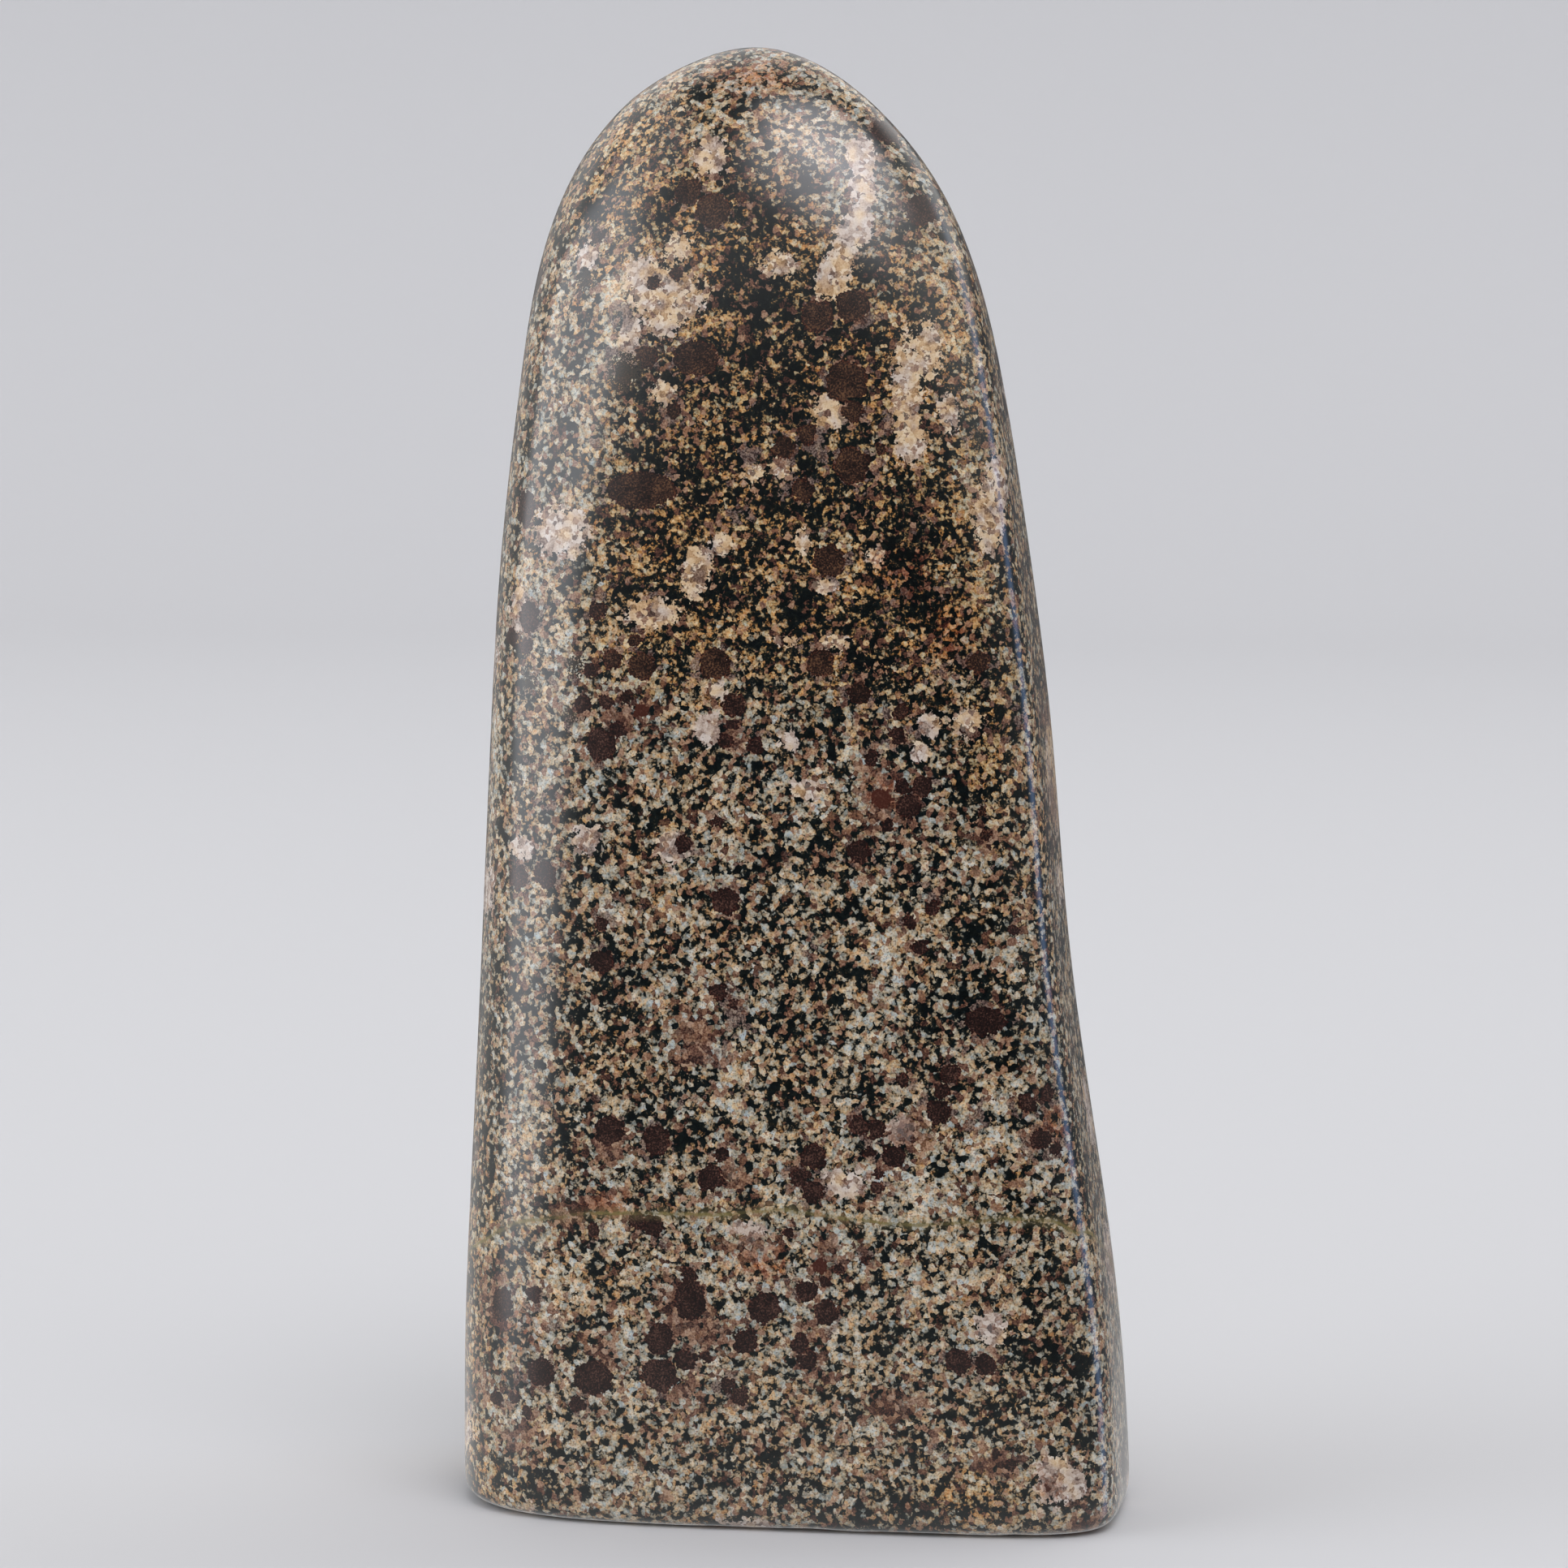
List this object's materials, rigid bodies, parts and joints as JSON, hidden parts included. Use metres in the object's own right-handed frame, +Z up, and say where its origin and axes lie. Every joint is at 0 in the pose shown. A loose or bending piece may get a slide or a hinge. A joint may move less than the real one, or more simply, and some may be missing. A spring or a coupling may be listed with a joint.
{
  "type": "flower jasper freeform",
  "caption": "Upright polished freeform of mottled flower jasper with a domed top, which stands on its flat sawn foot.",
  "frame": {"origin": "on the flat foot, under the middle of the stone's width and depth", "axes": "+Z up the stone from its foot to the top of its dome, and -Y out of the broad front face"},
  "size_m": [0.065, 0.0428, 0.14],
  "materials": {
    "jasper": "polished"
  },
  "bodies": {
    "root": {"stone": "jasper"}
  },
  "joints": []
}
